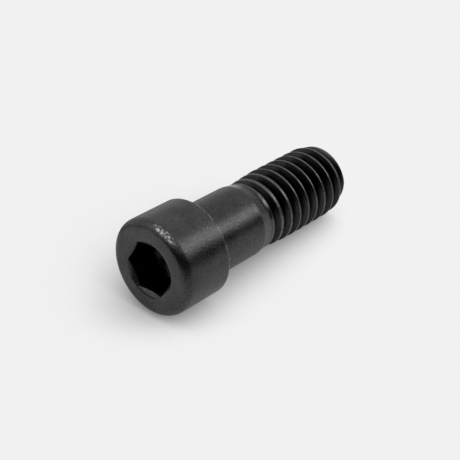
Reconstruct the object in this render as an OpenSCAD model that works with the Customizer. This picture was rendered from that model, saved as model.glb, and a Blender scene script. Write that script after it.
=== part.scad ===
// Socket head cap screw with a short plain shank, lying on its side.
// The screw is one piece of steel: forged head, turned shank, rolled thread.

/* [Head] */
// Diameter of the cylindrical head
head_d = 10.3; // [9:0.1:14]
// Height of the head along the screw
head_h = 6; // [5:0.1:9]
// Radius of the rounding between the head's face and its side
head_edge_r = 0.9; // [0.3:0.05:1.4]

/* [Hexagon socket] */
// Key size, measured across the flats of the socket
socket_af = 5.1; // [4:0.05:5.5]
// Depth of the six flats below the head's face
socket_depth = 3.4; // [2:0.1:4]
// Diameter of the countersunk mouth on the head's face
mouth_d = 6.1; // [6:0.05:7.5]
// Angle of the countersunk mouth, measured across the whole cone
mouth_angle = 120; // [80:1:130]
// Angle of the cone that closes the bottom of the socket
bottom_angle = 120; // [100:1:150]
// Turn of the socket about the screw's axis
socket_turn = 28; // [0:1:59]

/* [Shank] */
// Diameter of the plain shank
shank_d = 7.8; // [7:0.05:8.6]
// Length of the plain shank, from under the head
shank_l = 6.8; // [2:0.1:12]
// Radius of the fillet between the shank and the head
fillet_r = 0.4; // [0.1:0.05:0.6]
// Length of the cone that leads from the shank down to the thread
cone_l = 1.3; // [0.4:0.1:3]
// Diameter of the blank where the cone ends and the thread begins
blank_d = 7.4; // [6.9:0.05:7.8]

/* [Thread] */
// Diameter over the crests of the thread
thread_d = 7.94; // [7.8:0.01:9]
// Distance from one crest of the thread to the next: 18 of them in 25.4 mm
pitch = 1.411; // [1:0.001:1.8]
// Length of the screw under its head
under_head_l = 20.8; // [16:0.1:40]
// Length over which the crests rise from the blank to their full diameter
rise_l = 3.8; // [1:0.1:6]
// Number of turns over which the grooves reach their full depth
fade_turns = 1.1; // [0.5:0.1:2]
// Length of the taper at the screw's end
end_taper_l = 1.65; // [0.5:0.05:2.5]
// Diameter of the flat end face, at the end of the taper
end_d = 7.2; // [6.4:0.05:7.6]
// Angle round the screw at which the thread's crest begins
thread_start = 246; // [0:6:354]

/* [Hidden] */
$fn = 96;

// The thread's flanks stand at 60 degrees to each other, cut off by an eighth of the pitch
// at the crest and by a quarter of it at the root
flank_angle = 30;
crest_w = pitch / 8;
root_w = pitch / 4;
flank_w = (pitch - crest_w - root_w) / 2;
thread_depth = flank_w / tan(flank_angle);

// Radii, and places along the axis from the head's face
head_r = head_d / 2;
shank_r = shank_d / 2;
blank_r = blank_d / 2;
thread_r = thread_d / 2;
root_r = thread_r - thread_depth;
end_r = end_d / 2;
shank_end = head_h + shank_l;
cone_end = shank_end + cone_l;
screw_l = head_h + under_head_l;
taper_start = screw_l - end_taper_l;
fade_end = cone_end + fade_turns * pitch;

// Steps of the thread's mesh: round the screw, and across one pitch
steps = 60;
steep = [0, crest_w, crest_w + flank_w, crest_w + flank_w + root_w];
heights = [1, 1, 0, 0];
lines = len(steep);
sink = 0.6;
skin = 0.02;
mesh_start = cone_end - sink - pitch;
mesh_turns = ceil((screw_l - mesh_start) / pitch) + 1;

// Lying down, the screw touches the ground with the head's back edge and with the last crest
// that is full at its underside
underside = 180;
under_share = ((360 + underside - thread_start) % 360) / 360;
full_turns = floor((taper_start - mesh_start - crest_w) / pitch - under_share);
last_crest = mesh_start + crest_w + pitch * (full_turns + under_share);
lean = atan2(head_r - thread_r, last_crest - head_h);
face_height = head_h * sin(lean) + head_r * cos(lean);
foot_x = head_edge_r * (cos(lean) - 1) - (head_r - head_edge_r) * sin(lean);
tip_x = screw_l * cos(lean) + end_r * sin(lean);

// How far a place lies between two others, from 0 to 1
function between(a, b, z) = min(1, max(0, (z - a) / (b - a)));

// Radius of the unthreaded blank: the shank, then the cone, then the blank for the thread
function plain_r(z) = shank_r + (blank_r - shank_r) * between(shank_end, cone_end, z);

// How much of the thread is formed, from 0 to 1
function formed(z) =
    let (t = between(cone_end, fade_end, z))
    t * t * (3 - 2 * t);

// Largest radius of the crests: they rise from the blank, run level, and fall away at the end
function rise_r(z) = blank_r + (thread_r - blank_r) * between(cone_end, cone_end + rise_l, z);
function taper_r(z) = thread_r - max(0, z - taper_start) * (thread_r - end_r) / end_taper_l;

// Radius of the thread, from its height between root and crest
function thread_radius(z, height) =
    let (full = min(rise_r(z), root_r + height * thread_depth))
    let (plain = min(plain_r(z), blank_r) - skin)
    min(taper_r(z), plain + formed(z) * (full - plain));

// One point of the thread: step i round the screw, line j along it
function thread_point(i, j) =
    let (across = j % lines)
    let (z = mesh_start + pitch * (i / steps + floor(j / lines)) + steep[across])
    let (r = thread_radius(z, heights[across]))
    let (a = 360 * i / steps + thread_start)
    [r * cos(a), r * sin(a), z];

// The threaded rod is a net of such points, whose last column meets the first one turn later
module threaded_rod() {
    rows = mesh_turns * lines;
    columns = [for (i = [0 : steps - 1]) for (j = [0 : rows]) thread_point(i, j)];
    foot = [0, 0, mesh_start];
    tip = [0, 0, mesh_start + pitch * (mesh_turns + 1)];
    foot_at = len(columns);
    tip_at = foot_at + 1;
    function at(i, j) = i < steps ? i * (rows + 1) + j : j + lines;
    sides = [
        for (i = [0 : steps - 1])
        let (top = i < steps - 1 ? rows : rows - lines)
        for (j = [0 : top - 1])
        each [
            [at(i, j), at(i, j + 1), at(i + 1, j)],
            [at(i + 1, j), at(i, j + 1), at(i + 1, j + 1)]
        ]
    ];
    foot_rim = [
        for (i = [0 : steps - 1]) at(i, 0),
        for (j = [lines : -1 : 1]) j
    ];
    tip_rim = [
        for (j = [rows - lines : rows - 1]) at(steps - 1, j),
        for (i = [steps - 1 : -1 : 0]) at(i, rows)
    ];
    foot_cap = [for (k = [0 : len(foot_rim) - 1]) [foot_at, foot_rim[k], foot_rim[(k + 1) % len(foot_rim)]]];
    tip_cap = [for (k = [0 : len(tip_rim) - 1]) [tip_at, tip_rim[k], tip_rim[(k + 1) % len(tip_rim)]]];
    polyhedron(points = concat(columns, [foot, tip]), faces = concat(sides, foot_cap, tip_cap));
}

// The thread, cut off flat at the screw's end
module thread() {
    color("#2b2b2d")
    intersection() {
        threaded_rod();
        cylinder(h = screw_l, r = head_r);
    }
}

// Outline of half the head, from its axis outwards
module head_outline() {
    flat_r = head_r - head_edge_r;
    square([flat_r, head_h]);
    translate([0, head_edge_r])
        square([head_r, head_h - head_edge_r]);
    translate([flat_r, head_edge_r])
        circle(r = head_edge_r);
}

module head() {
    color("#4a4a4d")
    rotate_extrude()
        head_outline();
}

// Outline of half the shank, with the fillet that widens it where it meets the head
module shank_outline() {
    translate([0, head_h - sink])
        square([shank_r, shank_l + sink]);
    difference() {
        translate([0, head_h - sink])
            square([shank_r + fillet_r, sink + fillet_r]);
        translate([shank_r + fillet_r, head_h + fillet_r])
            circle(r = fillet_r);
    }
}

module shank() {
    color("#47474a")
    rotate_extrude()
        shank_outline();
}

module cone() {
    color("#55555a")
    translate([0, 0, shank_end])
        cylinder(h = cone_l, r1 = shank_r, r2 = blank_r);
}

// The hexagon socket, with its countersunk mouth and its pointed bottom
module socket() {
    corner_r = socket_af / 2 / cos(30);
    mouth_depth = (mouth_d / 2) / tan(mouth_angle / 2);
    point_depth = (socket_af / 2) / tan(bottom_angle / 2);
    over = 0.5;
    rotate(socket_turn)
    translate([0, 0, -over])
        cylinder(h = socket_depth + over, r = corner_r, $fn = 6);
    cylinder(h = mouth_depth, r1 = mouth_d / 2, r2 = 0);
    translate([0, 0, socket_depth])
        cylinder(h = point_depth, r1 = socket_af / 2, r2 = 0);
}

// The screw in its own frame: the head's face at zero, and the thread's end at the far end of +Z
module screw_along_axis() {
    union() {
        difference() {
            union() {
                head();
                shank();
                cone();
            }
            color("#161617")
                socket();
        }
        thread();
    }
}

// The screw as it lies on the ground
module screw() {
    translate([-(foot_x + tip_x) / 2, 0, face_height])
    rotate([0, 90 + lean, 0])
    rotate([0, 0, 180])
        screw_along_axis();
}

screw();
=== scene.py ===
# %% [markdown]
# # A black socket head cap screw, lying on its side
#
# The real screw is one piece of steel. Its head is forged, its shank is turned smooth, its thread is
# rolled between dies, and the whole of it is blackened in a hot salt bath. This lesson builds it as one
# closed mesh: a net of columns that run round the screw and rows that run along it. A screw is almost
# a solid of revolution, so a net suits it better than boxes and cuts, and the thread is the same net
# with its rows wound into a helix.

# %% Load the frame
import bpy
import math
from mathutils import Matrix, Vector


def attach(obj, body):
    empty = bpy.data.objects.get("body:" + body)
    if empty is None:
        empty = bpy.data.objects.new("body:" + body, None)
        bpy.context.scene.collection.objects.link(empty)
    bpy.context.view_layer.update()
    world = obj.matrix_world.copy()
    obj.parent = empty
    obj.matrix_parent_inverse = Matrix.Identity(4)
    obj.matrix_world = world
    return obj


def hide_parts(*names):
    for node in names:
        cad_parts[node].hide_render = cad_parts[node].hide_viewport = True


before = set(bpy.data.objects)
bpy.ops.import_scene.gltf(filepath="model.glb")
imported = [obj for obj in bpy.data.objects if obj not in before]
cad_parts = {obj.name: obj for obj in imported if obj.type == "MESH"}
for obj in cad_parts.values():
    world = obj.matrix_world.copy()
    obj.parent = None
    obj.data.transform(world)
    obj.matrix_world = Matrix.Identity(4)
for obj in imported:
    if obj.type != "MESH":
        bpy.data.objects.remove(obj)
scene = bpy.context.scene


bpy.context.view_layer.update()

# %% [markdown]
# ## Sizes
#
# The screw is drawn in millimetres along its own axis: the head's face is at 0 and the thread's end is
# at 26.8. These are the same sizes as in the part's source, so the dressed screw has its true form.
# Naming each size once keeps every later step readable.

# %% Sizes of the screw, in millimetres
HEAD_R, HEAD_H, HEAD_EDGE_R = 5.15, 6.0, 0.9
SOCKET_AF, SOCKET_DEPTH, MOUTH_R, SOCKET_TURN = 5.1, 3.4, 3.05, 28
STEEP = math.tan(math.radians(60))
SHANK_R, SHANK_END, FILLET_R = 3.9, 12.8, 0.4
BLANK_R, CONE_END, RISE_END = 3.7, 14.1, 17.9
THREAD_R, PITCH, THREAD_START = 3.97, 1.411, 246
FADE_TURNS, SCREW_L, TAPER_START, END_R = 1.1, 26.8, 25.15, 3.6

THREAD_DEPTH = (PITCH - PITCH / 8 - PITCH / 4) / 2 / math.tan(math.radians(30))
ROOT_R = THREAD_R - THREAD_DEPTH
FIRST_CREST = CONE_END - 0.6 - PITCH
FADE_END = CONE_END + FADE_TURNS * PITCH
print("root radius %.3f mm, thread depth %.3f mm" % (ROOT_R, THREAD_DEPTH))

# %% [markdown]
# ## How the screw lies
#
# A screw with a wide head doesn't lie level. It touches the ground with the back edge of its head and
# with the last full crest of its thread. The lean follows from the two radii and the distance between
# them, and a matrix turns the screw from its own axis to that resting place.

# %% The resting place
UNDERSIDE = ((360 + 180 - THREAD_START) % 360) / 360
FULL_TURNS = math.floor((TAPER_START - FIRST_CREST - PITCH / 8) / PITCH - UNDERSIDE)
LAST_CREST = FIRST_CREST + PITCH / 8 + PITCH * (FULL_TURNS + UNDERSIDE)
LEAN = math.atan2(HEAD_R - THREAD_R, LAST_CREST - HEAD_H)
SIN, COS = math.sin(LEAN), math.cos(LEAN)
FACE_HEIGHT = HEAD_H * SIN + HEAD_R * COS
FOOT_X = HEAD_EDGE_R * (COS - 1) - (HEAD_R - HEAD_EDGE_R) * SIN
TIP_X = SCREW_L * COS + END_R * SIN
MM = 0.001
LYING = Matrix((
    (SIN, 0, COS, -(FOOT_X + TIP_X) / 2 * MM),
    (0, -1, 0, 0),
    (COS, 0, -SIN, FACE_HEIGHT * MM),
    (0, 0, 0, 1),
))
print("the screw leans by %.3f degrees" % math.degrees(LEAN))

# %% [markdown]
# ## The thread's form
#
# A rolled thread has flanks at 60 degrees, crests a little rounded by the die and roots with a soft
# hollow. One pitch is described by its height at a few places: close together where the form bends, and
# far apart on the straight flanks. Between shank and thread the form fades in over about one turn,
# because the dies run out there, and at the screw's end a taper takes the crests down.

# %% One pitch of thread
CREST_HALF, ROOT_FROM = 1 / 16, 3 / 8
CREST_ROUNDING, ROOT_ROUNDING = 0.075, 0.12
CREST_SOFTNESS, ROOT_SOFTNESS = 1.1, 1.05


def step(value):
    """A soft ramp from 0 to 1."""
    value = min(1.0, max(0.0, value))
    return value * value * (3 - 2 * value)


def soft_height(place):
    """Height of the thread, 0 at the root and 1 at the crest, at a place from 0 to 1 across one pitch."""
    away = abs((place - 0.5) % 1.0 - 0.5)
    height = 1 - (away - CREST_HALF) / (ROOT_FROM - CREST_HALF)
    if height > 1 - CREST_ROUNDING:
        over = (height - (1 - CREST_ROUNDING)) / CREST_ROUNDING
        bent = math.tanh(over * CREST_SOFTNESS) / math.tanh(2 * CREST_SOFTNESS)
        height = 1 - CREST_ROUNDING + CREST_ROUNDING * bent
    if height < ROOT_ROUNDING:
        under = (ROOT_ROUNDING - height) / ROOT_ROUNDING
        bent = math.tanh(under * ROOT_SOFTNESS) / math.tanh(2 * ROOT_SOFTNESS)
        height = ROOT_ROUNDING - ROOT_ROUNDING * bent
    return min(1.0, max(0.0, height))


HALF = [0, 0.028, 0.047, 0.060, 0.072, 0.086, 0.104, 0.16, 0.23, 0.29, 0.325, 0.350, 0.375, 0.405, 0.45]
PLACES = HALF + [0.5] + [1 - p for p in reversed(HALF[1:])]
HEIGHTS = [soft_height(p) for p in PLACES]
ROWS = len(PLACES)
print("rows across one pitch:", ROWS, "heights:", [round(h, 2) for h in HEIGHTS[:16]])


# %% Radius of the thread at any place along the screw
def plain_radius(z):
    """Radius before threading: the shank, then the short cone, then the blank."""
    share = min(1.0, max(0.0, (z - SHANK_END) / (CONE_END - SHANK_END)))
    return SHANK_R + (BLANK_R - SHANK_R) * share


def thread_radius(z, height):
    """Radius of the thread at z, from its height between root and crest."""
    formed = step((z - CONE_END) / (FADE_END - CONE_END))
    rise = BLANK_R + (THREAD_R - BLANK_R) * min(1.0, max(0.0, (z - CONE_END) / (RISE_END - CONE_END)))
    full = min(rise, ROOT_R + height * THREAD_DEPTH)
    taper = THREAD_R - max(0.0, z - TAPER_START) * (THREAD_R - END_R) / (SCREW_L - TAPER_START)
    return min(taper, plain_radius(z) + formed * (full - plain_radius(z)))


print("crest radius at 15, 16 and 20 mm:", [round(thread_radius(z, 1.0), 3) for z in (15, 16, 20)])

# %% [markdown]
# ## The net of the whole screw
#
# The net has 240 columns. Head, socket and shank are plain rings across all columns. In the thread the
# rows climb by one pitch for each turn, so the last column meets the first one turn later. Flat planes
# cut the helix off at both ends, and small cells of three to five corners close the gaps.

# %% Columns and corners
COLUMNS = 240
angles = [math.radians(SOCKET_TURN + 360 * i / COLUMNS) for i in range(COLUMNS)]
corners, cells = [], []


def corner(column, radius, z):
    """Adds one corner of the net and returns its number."""
    a = angles[column % COLUMNS]
    corners.append((radius * math.cos(a), radius * math.sin(a), z))
    return len(corners) - 1


def ring(radius_at, z_at):
    """A closed row of corners. radius_at and z_at are numbers, or functions of the column."""
    radius = radius_at if callable(radius_at) else (lambda i: radius_at)
    z = z_at if callable(z_at) else (lambda i: z_at)
    return [corner(i, radius(i), z(i)) for i in range(COLUMNS)]


def band(first, second):
    """Cells between two closed rows."""
    for i in range(COLUMNS):
        j = (i + 1) % COLUMNS
        cells.append((first[i], first[j], second[j], second[i]))


def fan(row, z, outward):
    """Closes a row with a fan of cells round a middle corner."""
    corners.append((0.0, 0.0, z))
    middle = len(corners) - 1
    for i in range(COLUMNS):
        j = (i + 1) % COLUMNS
        cells.append((row[i], row[j], middle) if outward else (row[j], row[i], middle))


print("columns:", COLUMNS)

# %% [markdown]
# ## The hexagon socket
#
# A punch leaves six flat walls for the key, and a drill-shaped point below them. The mouth is
# countersunk at 120 degrees, which cuts a crescent from the top of each wall. Here every column asks how
# far out the hexagon's wall is, and the countersink ends where its cone meets that wall. Each edge has
# a tiny bevel, because only a bevel can catch a line of light.

# %% Socket, from its point to its mouth
BEVEL = 0.035


def hexagon_radius(i):
    """Distance from the axis to the hexagon's wall in one column."""
    turn = (360 * i / COLUMNS) % 60 - 30
    return SOCKET_AF / 2 / math.cos(math.radians(turn))


point_z = SOCKET_DEPTH + SOCKET_AF / 2 / STEEP
socket_rows = []
for share in (0.04, 0.3, 0.6, 0.85, 0.97):
    r = SOCKET_AF / 2 * share
    socket_rows.append(ring(r, SOCKET_DEPTH + (SOCKET_AF / 2 - r) / STEEP))
socket_rows.append(ring(lambda i: hexagon_radius(i) - BEVEL, SOCKET_DEPTH))
socket_rows.append(ring(hexagon_radius, SOCKET_DEPTH - BEVEL))
for z in (2.8, 2.1, 1.4, 0.8):
    socket_rows.append(ring(hexagon_radius, z))
socket_rows.append(ring(hexagon_radius, lambda i: (MOUTH_R - hexagon_radius(i)) / STEEP + BEVEL))
socket_rows.append(ring(lambda i: hexagon_radius(i) + BEVEL,
                        lambda i: (MOUTH_R - hexagon_radius(i) - BEVEL) / STEEP))
socket_rows.append(ring(MOUTH_R - BEVEL, BEVEL / STEEP))
socket_rows.append(ring(MOUTH_R + BEVEL, 0.0))
fan(socket_rows[0], point_z, outward=False)
for lower, upper in zip(socket_rows, socket_rows[1:]):
    band(lower, upper)
print("socket:", len(socket_rows), "rows")

# %% [markdown]
# ## Head and shank
#
# The outline of the head and the shank is a short list of places, as a turner would read it off a
# drawing: a flat face, a broad rounding, the straight side, a crisp back edge, the bearing face, a
# fillet, the shank and the cone where it narrows to the thread. Arcs are given as a few points each.

# %% Head, shank and cone
BACK_EDGE_R = 0.08
FACE_ROWS, BEARING_ROW = (3.4, 3.9), 4.7


def arc(middle_z, middle_r, radius, start, end, count):
    """Places on a rounding, from one angle to another, where 0 points along the screw."""
    places = []
    for k in range(count + 1):
        a = math.radians(start + (end - start) * k / count)
        places.append((middle_z + radius * math.cos(a), middle_r + radius * math.sin(a)))
    return places


outline = [(0.0, r) for r in FACE_ROWS]
outline += arc(HEAD_EDGE_R, HEAD_R - HEAD_EDGE_R, HEAD_EDGE_R, 180, 90, 14)
outline += [(z, HEAD_R) for z in (1.6, 2.6, 3.7, 4.8, 5.6)]
outline += arc(HEAD_H - BACK_EDGE_R, HEAD_R - BACK_EDGE_R, BACK_EDGE_R, 90, 0, 4)
outline += [(HEAD_H, BEARING_ROW)]
outline += arc(HEAD_H + FILLET_R, SHANK_R + FILLET_R, FILLET_R, 180, 270, 8)
outline += [(z, SHANK_R) for z in (7.4, 8.8, 10.2, 11.6, 12.6, SHANK_END - 0.05)]
outline += [(z, plain_radius(z)) for z in (SHANK_END + 0.05, 13.1, 13.5, 13.9)]
previous = socket_rows[-1]
for z, r in outline:
    row = ring(r, z)
    band(previous, row)
    previous = row
print("head and shank:", len(outline), "rows")

# %% [markdown]
# ## The thread
#
# Each column lists the helical rows that lie between the two cutting planes, with a corner on each
# plane. Neighbouring columns share almost all of their row numbers, so they join with four-cornered
# cells. A row that only one of the two columns has goes into the closing cell at that end.

# %% Thread, from the end of the cone to the screw's end
END_BEVEL = 0.06
CUT = SCREW_L - END_BEVEL
MARGIN = 0.012


def row_place(column, number):
    """Place of a helical row along the screw, in one column."""
    turn = (SOCKET_TURN + 360 * column / COLUMNS - THREAD_START) / 360
    return FIRST_CREST + PITCH / 16 + PITCH * (turn + number // ROWS + PLACES[number % ROWS])


def height_on_plane(i, z):
    """Height of the thread where a plane cuts it in one column."""
    turn = (SOCKET_TURN + 360 * i / COLUMNS - THREAD_START) / 360
    return soft_height((z - FIRST_CREST - PITCH / 16) / PITCH - turn)


columns = []
for i in range(COLUMNS):
    numbers = {}
    for number in range(-3 * ROWS, 14 * ROWS):
        z = row_place(i, number)
        if CONE_END + MARGIN < z < CUT - MARGIN:
            numbers[number] = corner(i, thread_radius(z, HEIGHTS[number % ROWS]), z)
    columns.append(numbers)
low_row = ring(lambda i: thread_radius(CONE_END, height_on_plane(i, CONE_END)), CONE_END)
high_row = ring(lambda i: thread_radius(CUT, height_on_plane(i, CUT)), CUT)
band(previous, low_row)
print("thread rows in the first column:", len(columns[0]))

# %% Join the columns, and close the end
END_RING_R = 2.4
for i in range(COLUMNS):
    here = columns[i]
    j = (i + 1) % COLUMNS
    there = columns[j] if j else {n - ROWS: c for n, c in columns[0].items()}
    shared = [n for n in sorted(here) if n in there]
    first, last = shared[0], shared[-1]
    for n in range(first, last):
        cells.append((here[n], there[n], there[n + 1], here[n + 1]))
    low = [low_row[i], low_row[j]] + [there[n] for n in sorted(there) if n <= first]
    low += [here[n] for n in sorted(here, reverse=True) if n <= first]
    cells.append(tuple(low))
    high = [here[n] for n in sorted(here, reverse=True) if n >= last]
    high += [there[n] for n in sorted(there) if n >= last]
    cells.append(tuple(high + [high_row[j], high_row[i]]))
end_row = ring(lambda i: thread_radius(CUT, height_on_plane(i, CUT)) - END_BEVEL, SCREW_L)
inner_row = ring(END_RING_R, SCREW_L)
band(high_row, end_row)
band(end_row, inner_row)
fan(inner_row, SCREW_L, outward=True)
print("corners:", len(corners), "cells:", len(cells))

# %% [markdown]
# ## From the net to an object
#
# The corners are turned into metres, and the resting matrix lays each of them down. An object could be
# turned instead, but then its box would be measured along its own axis and come out too large. Shading
# is smooth, but an edge that bends by more than 35 degrees, such as a corner of the hexagon, stays
# sharp.

# %% The screw's mesh
mesh = bpy.data.meshes.new("cap_screw")
mesh.from_pydata([LYING @ (Vector(c) * MM) for c in corners], [], cells)
mesh.validate()
mesh.shade_smooth()
mesh.set_sharp_from_angle(angle=math.radians(35))
screw = bpy.data.objects.new("cap_screw", mesh)
scene.collection.objects.link(screw)
triangles = sum(len(p.vertices) - 2 for p in mesh.polygons)
print("screw:", len(mesh.vertices), "corners,", triangles, "triangles")

# %% [markdown]
# ## Sums in a node tree
#
# The finish, the floor and the room all need arithmetic, and a soft ramp to turn a measure into a mask.
# Nodes can be set one by one, but each sum takes four lines that way. So one function makes both
# helpers for any node tree.


# %% Helpers for a node tree
def helpers_for(tree):
    """Two helpers for one node tree: a step of arithmetic, and a soft ramp."""
    def sum_of(kind, *values):
        node = tree.nodes.new("ShaderNodeMath")
        node.operation = kind
        for socket, value in zip(node.inputs, values):
            if isinstance(value, (int, float)):
                socket.default_value = value
            else:
                tree.links.new(value, socket)
        return node.outputs[0]

    def ramp_of(value, start, end, high=1.0):
        node = tree.nodes.new("ShaderNodeMapRange")
        node.interpolation_type = "SMOOTHSTEP"
        node.inputs["From Min"].default_value, node.inputs["From Max"].default_value = start, end
        node.inputs["To Max"].default_value = high
        tree.links.new(value, node.inputs["Value"])
        return node.outputs["Result"]

    return sum_of, ramp_of


print("helpers: a sum and a ramp")

# %% [markdown]
# ## Black oxide on steel
#
# Hot blackening turns the steel's skin into a dark film that still shines like metal. The base is a
# very dark metal, so it is black where it faces the eye and pale at grazing angles. Its edge tint is
# kept low, because a film of oxide and oil never becomes a mirror.

# %% Base of the finish
EDGE_TINT = 0.79
finish = bpy.data.materials.new("black_oxide")
finish.use_nodes = True
nodes, links = finish.node_tree.nodes, finish.node_tree.links
nodes.clear()
surface = nodes.new("ShaderNodeBsdfPrincipled")
output = nodes.new("ShaderNodeOutputMaterial")
links.new(surface.outputs["BSDF"], output.inputs["Surface"])
surface.inputs["Metallic"].default_value = 1.0
surface.inputs["Specular Tint"].default_value = (EDGE_TINT, EDGE_TINT, EDGE_TINT, 1)
maths, between = helpers_for(finish.node_tree)


def times(first, *others):
    """The values multiplied with each other."""
    for other in others:
        first = maths("MULTIPLY", first, other)
    return first


def plus(first, *others):
    """The values added together."""
    for other in others:
        first = maths("ADD", first, other)
    return first


def less(mask, share):
    """What is left of 1 where a mask takes a share of it away."""
    return maths("SUBTRACT", 1.0, times(mask, share))


def window(value, start, full, fading, end):
    """A mask that rises from start to full, stays at 1, and falls from fading to end."""
    return times(between(value, start, full), between(value, end, fading))


print("finish:", finish.name)

# %% [markdown]
# ## Where a place lies on the screw
#
# On a turned piece, wear and oil follow the axis. So the finish has to know, for each place, how far it
# is from the axis, how far along it, and at which angle round it. The mesh lies down, and the resting
# matrix turned round gives those measures back. A picture could hold the wear too, but measured masks
# stay sharp at any size.

# %% Place, radius, length and angle
lying_place = nodes.new("ShaderNodeTexCoord").outputs["Object"]
own = []
for row in LYING.inverted()[:3]:
    along_row = nodes.new("ShaderNodeVectorMath")
    along_row.operation = "DOT_PRODUCT"
    along_row.inputs[1].default_value = row[:3]
    links.new(lying_place, along_row.inputs[0])
    own.append(maths("ADD", along_row.outputs["Value"], row[3]))
gathered = nodes.new("ShaderNodeCombineXYZ")
for socket, value in zip(gathered.inputs, own):
    links.new(value, socket)
place = gathered.outputs[0]
radius = times(maths("SQRT", plus(times(own[0], own[0]), times(own[1], own[1]))), 1 / MM)
along = times(own[2], 1 / MM)
turned = times(maths("ARCTAN2", own[1], own[0]), 180 / math.pi)
print("measures: radius and length in millimetres, angle in degrees")

# %% [markdown]
# ## An uneven film
#
# No bath leaves an even film. Three kinds of noise stand for that: soft clouds, a fine grain and small
# scratches. Marks from turning and rolling run round the screw, so their noise is laid out by angle
# and length, and drawn out along the angle.

# %% Noise, even or drawn out round the screw
# the arc of one degree at a radius of 1 mm, in metres
DEGREE = 0.0000175


def noise_at(vector, scale, detail, rough):
    """Noise at a place, at a scale per unit of that place."""
    noise = nodes.new("ShaderNodeTexNoise")
    noise.inputs["Scale"].default_value = scale
    noise.inputs["Detail"].default_value = detail
    noise.inputs["Roughness"].default_value = rough
    links.new(vector, noise.inputs["Vector"])
    return noise.outputs["Fac"]


def marks(round_scale, along_scale):
    """Noise drawn out round the screw: short marks that follow its curve."""
    unrolled = nodes.new("ShaderNodeCombineXYZ")
    links.new(times(turned, round_scale * DEGREE), unrolled.inputs[0])
    links.new(times(maths("SUBTRACT", along, radius), along_scale), unrolled.inputs[1])
    return noise_at(unrolled.outputs[0], 1.0, 3, 0.7)


clouds = between(noise_at(place, 420, 3, 0.5), 0.3, 0.7)
grain = between(noise_at(place, 7000, 2, 0.7), 0.34, 0.66)
scratches = noise_at(place, 2600, 4, 0.7)
print("noise: clouds, grain and scratches")

# %% [markdown]
# ## Crests and grooves
#
# Handling rubs the crests pale. The grooves are darkened with painted shade: it is blackest on the side
# that looks up at us, and thin low down where the thread starts, and near the screw's end. The depth of
# a place is the radius that the crests have there, less its own radius.

# %% Masks of the thread
RISE = (THREAD_R - BLANK_R) / (RISE_END - CONE_END)
FALL = (THREAD_R - END_R) / (SCREW_L - TAPER_START)
rising = plus(BLANK_R - CONE_END * RISE, times(along, RISE))
falling = maths("SUBTRACT", THREAD_R + TAPER_START * FALL, times(along, FALL))
crest_radius = maths("MINIMUM", maths("MINIMUM", THREAD_R, rising), falling)
depth = maths("SUBTRACT", crest_radius, radius)
crest = times(between(along, CONE_END - 0.05, CONE_END + 0.35), between(depth, 0.035, 0.005))
# Painted shade in the grooves, darkest on the side that faces up at us and less low down and at the end
painted_shade_side = window(turned, -14, 4, 54, 74)
low_side = window(turned, 52, 63, 130, 160)
low_start = times(low_side, between(along, CONE_END + 1.2, CONE_END + 0.75))
shallow = times(between(depth, 0.02, 0.08), plus(0.42, times(painted_shade_side, 0.40)))
deep = times(between(depth, 0.20, 0.60), maths("SUBTRACT", 0.36, times(painted_shade_side, 0.22)))
groove_shade = times(plus(shallow, deep), between(along, CONE_END + 0.10, CONE_END + 0.60))
groove_shade = times(groove_shade, less(between(along, 25.7, 26.1), 0.70), less(low_start, 0.75))
print("masks: crest, groove, low side")

# %% [markdown]
# ## Glints, highlight and shade painted on the head
#
# The head's broad rounding has a patch of worn marks, painted bright as glints, and its back edge has a
# painted highlight line. The socket is darkened with painted shade, and a painted shadow line follows
# the lower rim of its mouth.

# %% Masks of the head
# Worn marks on the rounding, painted bright as glints
PATCH_TURN, PATCH_PLACE = 20, 0.42
PATCH_WIDTH, PATCH_LENGTH = 19, 0.34
round_patch = maths("DIVIDE", maths("SUBTRACT", turned, PATCH_TURN), PATCH_WIDTH)
along_patch = maths("DIVIDE", maths("SUBTRACT", along, PATCH_PLACE), PATCH_LENGTH)
glint_patch = between(plus(times(round_patch, round_patch), times(along_patch, along_patch)), 1.1, 0.3)
glint_patch = times(glint_patch, between(radius, 4.4, 4.6))
# Painted highlight line along the head's back edge, broken up by scratches
back_edge_highlight = times(between(along, HEAD_H - 0.15, HEAD_H - 0.06),
                  between(radius, HEAD_R - 0.12, HEAD_R - 0.06))
# Painted shade inside the socket
socket_shade = times(window(along, 0.28, 0.40, 6.9, 7.0), between(radius, MOUTH_R + 0.02, MOUTH_R - 0.03))
behind_head = between(along, HEAD_H + 0.3, HEAD_H + 0.4)
# Painted shadow line along the lower rim of the socket's mouth
from_mouth = maths("ABSOLUTE", maths("SUBTRACT", radius, MOUTH_R + 0.02))
mouth_shade_line = times(between(from_mouth, 0.09, 0.05), between(along, 0.12, 0.05))
mouth_shade_line = times(mouth_shade_line, plus(between(turned, -112, -130), between(turned, 156, 168)))
print("masks: worn patch, back edge, socket")

# %% [markdown]
# ## The neck, where the thread starts
#
# The dies leave short bright streaks where they run out. The cone has a painted highlight above, painted
# light on its side and painted shade in front, with a painted dark ring at its end. After it come the
# streaks, one black spot and, low down, a blank painted lighter, with a painted dark gap and the first
# thin line of the thread as a painted highlight. These marks are finer than the net, so they belong to
# the finish.

# %% Masks of the neck
LINE_PLACE, LINE_CLIMB, GAP_AHEAD = 14.33, 0.002, 0.25
neck = window(along, SHANK_END, SHANK_END + 0.05, CONE_END, CONE_END + 0.2)
on_cone = window(along, SHANK_END + 0.05, SHANK_END + 0.2, CONE_END - 0.8, CONE_END)
# Painted highlight on the top of the cone, and painted light on its side
neck_top_highlight = times(on_cone, between(turned, 4, -22), between(turned, -60, -35))
neck_side_light = times(on_cone, window(turned, -12, 4, 14, 32))
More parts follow.
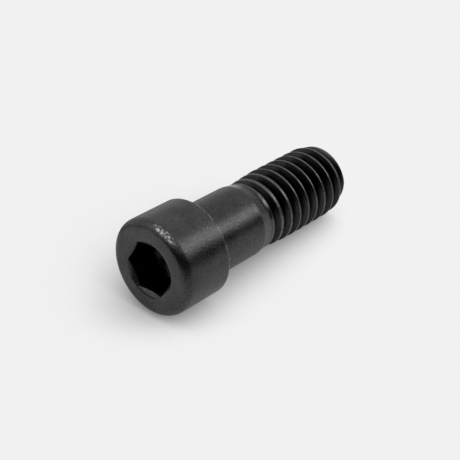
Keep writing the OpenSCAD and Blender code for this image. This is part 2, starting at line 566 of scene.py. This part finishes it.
# Painted shade on the front of the cone, and a painted dark ring at its end
neck_front_shade = times(window(along, SHANK_END, SHANK_END + 0.2, CONE_END - 0.06, CONE_END + 0.04),
                   window(turned, 24, 40, 50, 58))
neck_end_shade = times(window(along, CONE_END - 0.50, CONE_END - 0.22, CONE_END - 0.06, CONE_END + 0.04),
                 window(turned, -18, -4, 52, 64))
# The blank on the low side, painted lighter
low_blank_light = times(low_side, window(along, SHANK_END, SHANK_END + 0.1, CONE_END + 0.05, CONE_END + 0.50))
run_out = times(window(along, CONE_END - 0.08, CONE_END + 0.06, CONE_END + 0.56, CONE_END + 0.72),
                window(turned, 6, 18, 38, 52))
# A black spot where the thread begins
black_spot = times(window(along, CONE_END - 0.10, CONE_END + 0.05, CONE_END + 0.35, CONE_END + 0.50),
                   window(turned, 46, 54, 66, 74))
# Painted highlight of the thread's first thin line, and painted shade in the gap ahead of it
from_line = maths("SUBTRACT", along, plus(LINE_PLACE, times(turned, LINE_CLIMB)))
line_span = window(turned, 34, 50, 112, 128)
first_line_highlight = times(between(maths("ABSOLUTE", from_line), 0.14, 0.06), line_span, between(turned, 52, 80))
first_gap_shade = times(between(maths("ABSOLUTE", plus(from_line, GAP_AHEAD)), 0.17, 0.08), line_span)
print("masks: cone, streaks, spot and first line")

# %% [markdown]
# ## Colour, roughness and grain
#
# Soft clouds change the film's depth, and a fine grain, about a tenth of a millimetre across, makes it
# sparkle a little in the bright stripe. The dark masks take a share of the base away: most of them are
# painted shade, and one is the black spot. The pale ones add to it: bare metal on worn crests and in the
# streaks, painted glints on the worn patch, and painted highlights, some broken up by scratches.

# %% Join the finish together
FILM_TINT = (1.0, 0.995, 1.02)
base = times(plus(0.050, times(clouds, 0.018)), plus(0.70, times(grain, 0.60)))
# Painted shade in the grooves, and painted light on the low blank
base = times(base, maths("SUBTRACT", 1.0, groove_shade), plus(less(behind_head, 0.08), times(low_blank_light, 0.8)))
# Painted light on the side of the cone
base = times(base, plus(1.0, times(neck_side_light, 0.35)))
# Painted shade in the socket, on the mouth's rim, in the first gap and on the cone, and the black spot
for dark_mask, share in ((socket_shade, 0.55), (black_spot, 0.95), (mouth_shade_line, 0.80),
                         (first_gap_shade, 0.55), (neck_front_shade, 0.36), (neck_end_shade, 0.40)):
    base = times(base, less(dark_mask, share))
# Worn crests and streaks, painted glints on the worn patch, and painted highlights
wear_and_highlights = (
    times(crest, between(scratches, 0.25, 0.60), 0.060),
    times(back_edge_highlight, between(scratches, 0.38, 0.62), 0.27),
    times(glint_patch, between(marks(20000, 10.0), 0.46, 0.62), 0.30),
    times(run_out, between(marks(2600, 8.0), 0.52, 0.62), 0.27),
    times(neck_top_highlight, 0.38),
    times(first_line_highlight, 0.022),
)
base = plus(base, *wear_and_highlights)
tone = nodes.new("ShaderNodeCombineColor")
for k, share in enumerate(FILM_TINT):
    links.new(times(base, share), tone.inputs[k])
links.new(tone.outputs["Color"], surface.inputs["Base Color"])
dullness = plus(0.25, times(clouds, 0.05), times(neck, 0.10), times(crest, 0.08), times(groove_shade, 0.12))
links.new(dullness, surface.inputs["Roughness"])
bump = nodes.new("ShaderNodeBump")
bump.inputs["Strength"].default_value = 0.25
bump.inputs["Distance"].default_value = 0.00002
links.new(grain, bump.inputs["Height"])
links.new(bump.outputs["Normal"], surface.inputs["Normal"])
print("finish:", len(nodes), "nodes")

# %% [markdown]
# ## Tie the screw to its frame
#
# The screw has no joint, so it rides on the root body. It takes the one material slot and stands for
# the one solid of the part.

# %% Body, slot and solid
mesh.materials.append(finish)
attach(screw, "root")
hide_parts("screw")
print("tied:", screw.name)

# %% [markdown]
# ## Floor
#
# The screw lies on a plain white sheet. Seen by the camera and in the metal, the sheet is a pale even
# tone, and it darkens only where the screw closes off the sky above it. Ambient occlusion measures just
# that, straight up and low towards the right, so it draws the soft contact shadow without any noise.

# %% Floor
WHITE = 0.88
floor_mesh = bpy.data.meshes.new("floor")
floor_mesh.from_pydata([(-2, -2, 0), (2, -2, 0), (2, 2, 0), (-2, 2, 0)], [], [(0, 1, 2, 3)])
floor = bpy.data.objects.new("floor", floor_mesh)
scene.collection.objects.link(floor)
paper = bpy.data.materials.new("paper")
paper.use_nodes = True
sheet, sheet_links = paper.node_tree.nodes, paper.node_tree.links
sheet.clear()
work_out, soft_step = helpers_for(paper.node_tree)


def open_towards(x, y, z):
    """How much of the sky round a direction is open above a place on the sheet."""
    node = sheet.new("ShaderNodeAmbientOcclusion")
    node.samples = 12
    node.inputs["Distance"].default_value = 0.2
    facing = sheet.new("ShaderNodeCombineXYZ")
    for socket, value in zip(facing.inputs, Vector((x, y, z)).normalized()):
        socket.default_value = value
    sheet_links.new(facing.outputs[0], node.inputs["Normal"])
    return node.outputs["AO"]


SHADOW_CURVE, SHADOW_GAIN = 1.75, 1.17
from_above = work_out("MULTIPLY", open_towards(0, 0, 1), 0.5)
from_side = work_out("MULTIPLY", open_towards(0.35, -0.85, 0.40), 0.5)
light = work_out("POWER", work_out("ADD", from_above, from_side), SHADOW_CURVE)
light = work_out("MINIMUM", WHITE, work_out("MULTIPLY", light, SHADOW_GAIN))
print("floor at height 0, tone", WHITE)

# %% [markdown]
# ## The floor in the metal
#
# A real sheet is not endless. Mirrored in the screw, it ends in the dark room in front, and it is dimmer
# behind and to the left. So the sheet fades in glossy rays alone, by its distance from the middle in
# three directions, and a little more inside the shadow.

# %% Fades for glossy rays, and the sheet's glow
spot_on_sheet = sheet.new("ShaderNodeSeparateXYZ")
sheet_links.new(sheet.new("ShaderNodeTexCoord").outputs["Object"], spot_on_sheet.inputs[0])


def reach(x, y):
    """How far a place on the sheet lies from the middle in one direction, in metres."""
    return work_out("ADD", work_out("MULTIPLY", spot_on_sheet.outputs[0], x),
                    work_out("MULTIPLY", spot_on_sheet.outputs[1], y))


in_front, behind_it, to_the_left = reach(-0.57, -0.82), reach(0.65, 0.76), reach(-0.95, 0.30)
fade = soft_step(in_front, 0.006, 0.045, 0.5)
dim_behind = work_out("MULTIPLY", soft_step(behind_it, 0.004, 0.012),
                      soft_step(behind_it, 0.075, 0.015, 0.62))
shadow = work_out("SUBTRACT", WHITE, light)
dim_in_shadow = work_out("MULTIPLY", work_out("MULTIPLY", shadow, shadow), 1.3)
for part in (dim_behind, soft_step(to_the_left, 0.030, 0.120, 0.25), dim_in_shadow):
    fade = work_out("ADD", fade, part)
mirrored = sheet.new("ShaderNodeLightPath").outputs["Is Glossy Ray"]
fade = work_out("MULTIPLY", mirrored, work_out("MINIMUM", fade, 0.9))
glow = sheet.new("ShaderNodeEmission")
sheet_links.new(work_out("MULTIPLY", light, work_out("SUBTRACT", 1.0, fade)), glow.inputs["Strength"])
sheet_out = sheet.new("ShaderNodeOutputMaterial")
sheet_links.new(glow.outputs["Emission"], sheet_out.inputs["Surface"])
floor_mesh.materials.append(paper)
print("sheet:", len(sheet), "nodes")

# %% [markdown]
# ## Light
#
# Black metal shows the room rather than its own colour, so the room gives it its look. The sky is an
# even white. In front the room is dark near the ground, as it is behind a photographer, which gives
# the dark stripes. Two wide soft lamps above that dark give the bright ones.

# %% Room
SKY = 0.90
FRONT, BACK, LEFT = math.radians(-115), math.radians(45), math.radians(160)
world = bpy.data.worlds.new("studio")
scene.world = world
world.use_nodes = True
sky, sky_links = world.node_tree.nodes, world.node_tree.links
sky.clear()
sum_up, ramp = helpers_for(world.node_tree)
split = sky.new("ShaderNodeSeparateXYZ")
sky_links.new(sky.new("ShaderNodeTexCoord").outputs["Generated"], split.inputs[0])
east, north, height = split.outputs


def facing(angle):
    """How nearly a direction of the room points to an angle on the ground."""
    return sum_up("ADD", sum_up("MULTIPLY", east, math.cos(angle)),
                  sum_up("MULTIPLY", north, math.sin(angle)))


aside = facing(FRONT + math.pi / 2)
sideways = sum_up("DIVIDE", sum_up("ARCTAN2", aside, facing(FRONT)), math.radians(80))
upwards = sum_up("DIVIDE", sum_up("SUBTRACT", height, 0.05), 0.66)
spot = sum_up("ADD", sum_up("MULTIPLY", sideways, sideways), sum_up("MULTIPLY", upwards, upwards))
dark = sum_up("MULTIPLY", ramp(spot, 1.2, 0.8), 0.86)
dusk = sum_up("MULTIPLY", ramp(facing(BACK), 0.4, 0.9), ramp(height, 0.55, 0.25))
dusk = sum_up("MULTIPLY", dusk, 0.04)
shade = sum_up("MULTIPLY", ramp(facing(LEFT), 0.80, 0.94), ramp(height, 0.20, 0.06))
shade = sum_up("MULTIPLY", shade, 0.45)
level = sum_up("SUBTRACT", SKY, sum_up("ADD", dark, sum_up("ADD", dusk, shade)))
print("room: sky", SKY, "with a dark front")

# %% [markdown]
# ## Behind the screw
#
# The metal has to see the room with its dark front, but the picture shows a plain pale ground. The
# Light Path node tells the two apart: for camera rays the world has the sheet's own tone, and for all
# other rays it is the room.

# %% The room in the metal, and white for the camera
background = sky.new("ShaderNodeBackground")
background.inputs["Color"].default_value = (1, 1, 1, 1)
sky_links.new(level, background.inputs["Strength"])
plain = sky.new("ShaderNodeBackground")
plain.inputs["Color"].default_value = (WHITE, WHITE, WHITE, 1)
seen = sky.new("ShaderNodeMixShader")
sky_links.new(sky.new("ShaderNodeLightPath").outputs["Is Camera Ray"], seen.inputs["Fac"])
sky_links.new(background.outputs["Background"], seen.inputs[1])
sky_links.new(plain.outputs["Background"], seen.inputs[2])
world_output = sky.new("ShaderNodeOutputWorld")
sky_links.new(seen.outputs["Shader"], world_output.inputs["Surface"])
print("world:", len(sky), "nodes")

# %% [markdown]
# ## Lamps
#
# Two square lamps stand for the soft boxes of a studio. A small lamp would draw a hard glint, and a
# wide one draws the broad soft stripes that black metal shows. Each is placed by two angles and a
# distance, and turned to face the screw.

# %% Lamps
LAMP_DISTANCE = 0.6


def soft_lamp(name, azimuth, elevation, size, power):
    """A square lamp that looks at the screw from a direction given in degrees."""
    lamp = bpy.data.lights.new(name, "AREA")
    lamp.shape, lamp.size, lamp.energy = "SQUARE", size, power
    holder = bpy.data.objects.new(name, lamp)
    a, e = math.radians(azimuth), math.radians(elevation)
    way = Vector((math.cos(a) * math.cos(e), math.sin(a) * math.cos(e), math.sin(e)))
    holder.location = way * LAMP_DISTANCE
    holder.rotation_euler = way.to_track_quat("Z", "Y").to_euler()
    scene.collection.objects.link(holder)


soft_lamp("side_lamp", -37, 32, 0.23, 0.47)
soft_lamp("top_lamp", 165, 56, 0.42, 0.55)

# %% [markdown]
# ## Camera
#
# The camera's place was found by fitting the screw's outline to the photograph. A rotation matrix
# holds it exactly: its columns are the camera's right, its up and the direction behind it.

# %% Camera
lens = bpy.data.cameras.new("camera")
lens.sensor_width = 36
lens.lens = 85.94
lens.clip_start = 0.001
camera = bpy.data.objects.new("camera", lens)
right = Vector((0.66422893, -0.74752922, 0.0))
up = Vector((0.41894817, 0.37226303, 0.82819241))
back = right.cross(up)
camera.matrix_world = Matrix((
    (right.x, up.x, back.x, -0.0720154),
    (right.y, up.y, back.y, -0.0626148),
    (right.z, up.z, back.z, 0.0679923),
    (0, 0, 0, 1),
))
scene.collection.objects.link(camera)
scene.camera = camera
scene.view_settings.view_transform = "Standard"
print("camera:", [round(v, 4) for v in camera.location], "back", [round(v, 3) for v in back])
